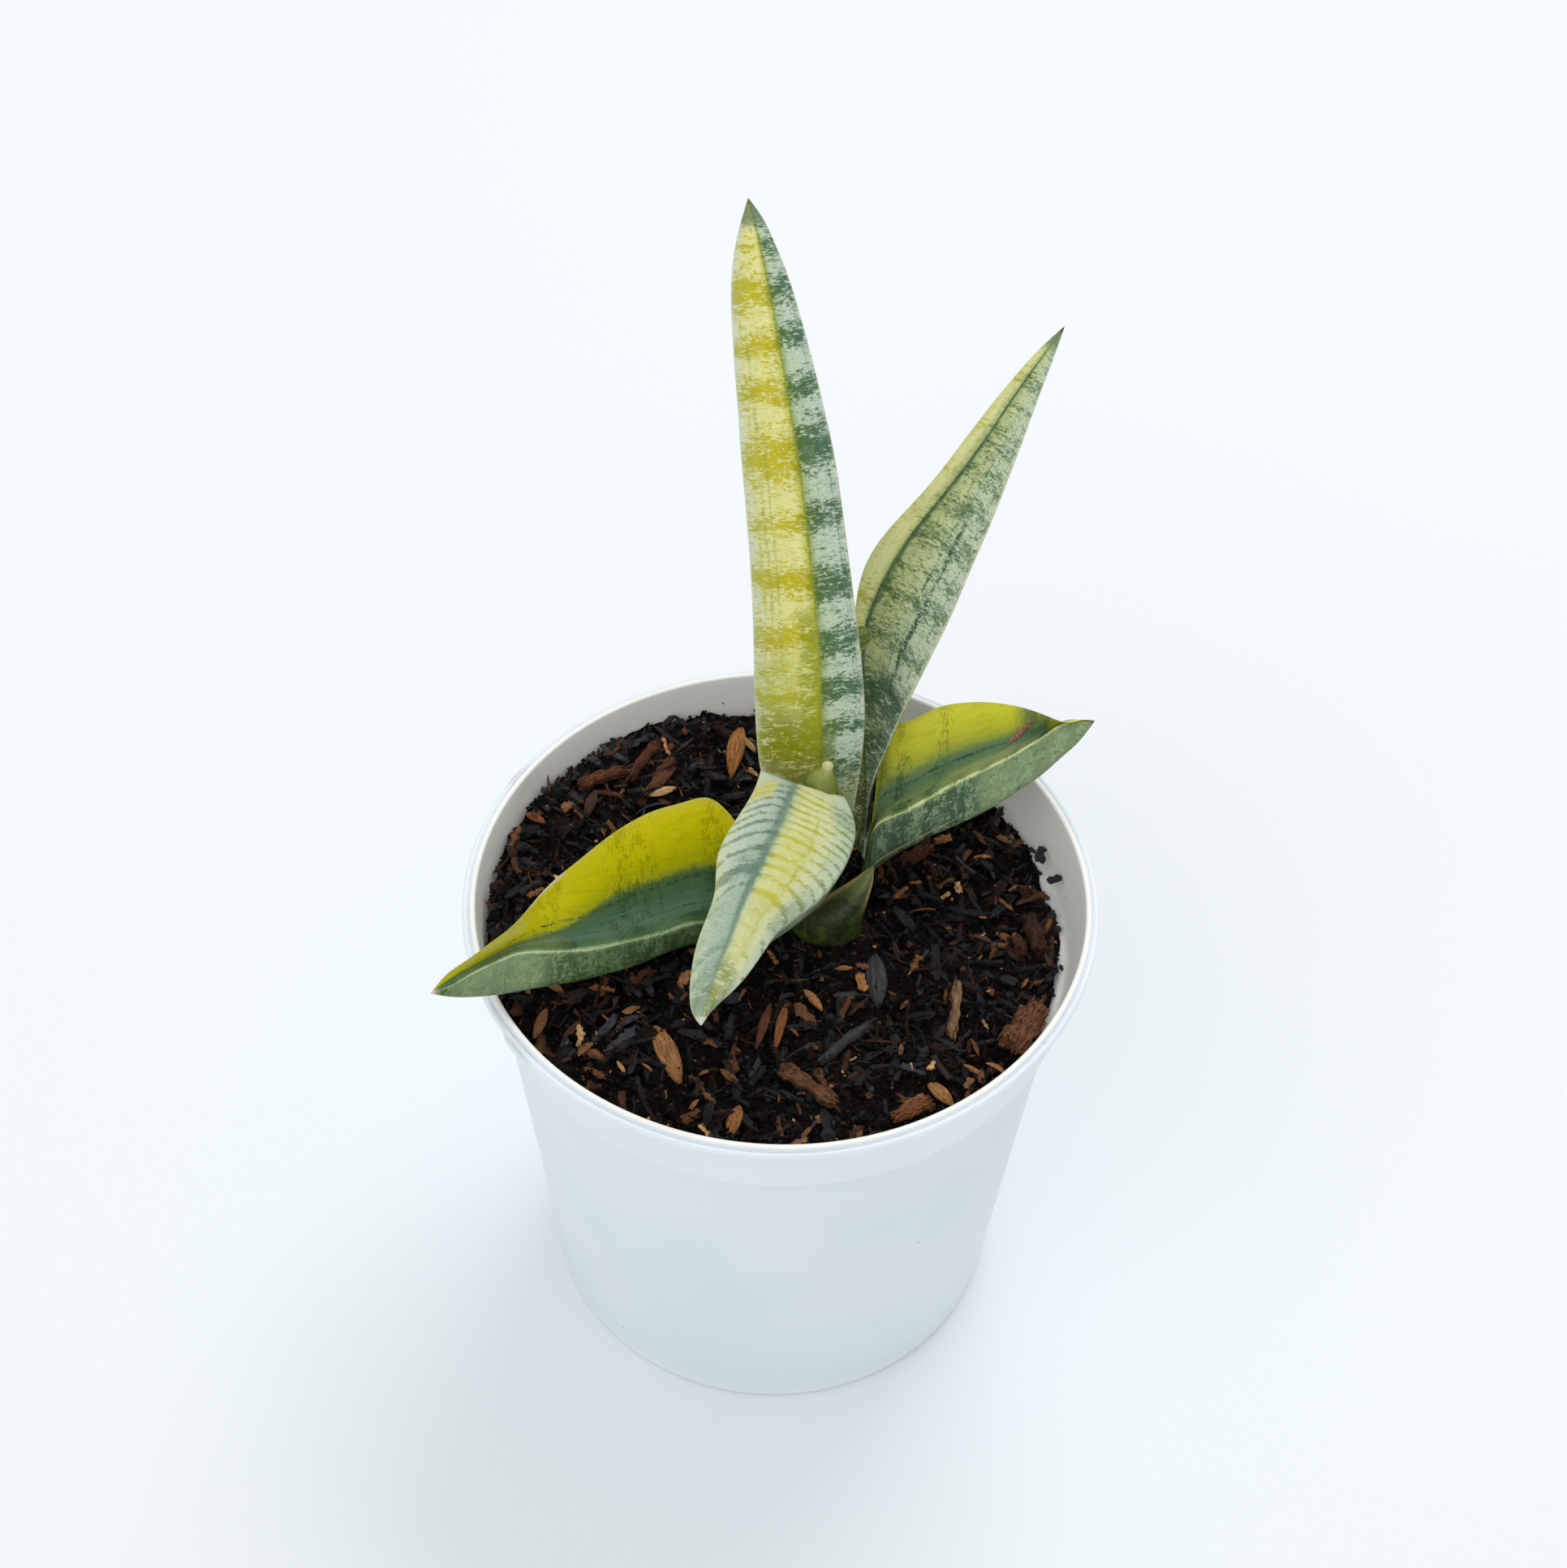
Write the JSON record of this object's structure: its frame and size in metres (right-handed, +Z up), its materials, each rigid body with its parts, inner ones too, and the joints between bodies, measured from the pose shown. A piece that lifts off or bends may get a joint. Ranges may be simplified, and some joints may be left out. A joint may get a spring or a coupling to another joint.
{
  "type": "potted snake plant",
  "caption": "Potted snake plant: a rosette of thick pointed leaves banded in yellow and green, in dark husk potting mix in a tapered white plastic pot with a collar.",
  "frame": {"origin": "centre of the pot's underside, on the surface it stands on", "axes": "+Z up along the pot's axis; -Y towards the viewer; the low front leaf points towards -Y and the tall leaf stands behind it"},
  "size_m": [0.1016, 0.1038, 0.186],
  "materials": {
    "pot_plastic": "satin",
    "potting_mix": "matte",
    "stem_and_roots": "matte",
    "leaf_pale": "satin",
    "leaf_green": "satin",
    "leaf_yellow": "satin",
    "leaf_new": "satin",
    "rice_husk": "satin",
    "charred_husk": "satin",
    "bark": "matte",
    "pale_wood": "matte"
  },
  "bodies": {
    "root": {"pot": "pot_plastic", "potting_mix": "potting_mix", "stem_and_roots": "stem_and_roots", "leaf_tall_centre": "leaf_pale", "leaf_tall_right": "leaf_green", "leaf_front": "leaf_pale", "leaf_left": "leaf_yellow", "leaf_right": "leaf_yellow", "leaf_new": "leaf_new", "leaf_basal_scale": "leaf_green", "husk_tan_front": "rice_husk", "husk_split_front_a": "rice_husk", "husk_split_front_b": "rice_husk", "husk_charred_centre": "charred_husk", "stick_pale_right": "pale_wood", "bark_chunk_right": "bark", "bark_chip_wall": "bark", "husk_tall_back": "rice_husk", "bark_bar_back_left": "bark", "bark_bar_back_mid": "bark", "bark_bar_back_low": "bark", "husk_left_edge": "rice_husk", "husk_left_front": "rice_husk", "bark_slab_front": "bark", "stick_charred_front": "charred_husk", "husk_front_rim": "rice_husk", "bark_front_right": "bark", "bark_under_right_leaf": "bark", "husk_right_front": "rice_husk", "splinter_on_right_leaf": "pale_wood"}
  },
  "joints": []
}
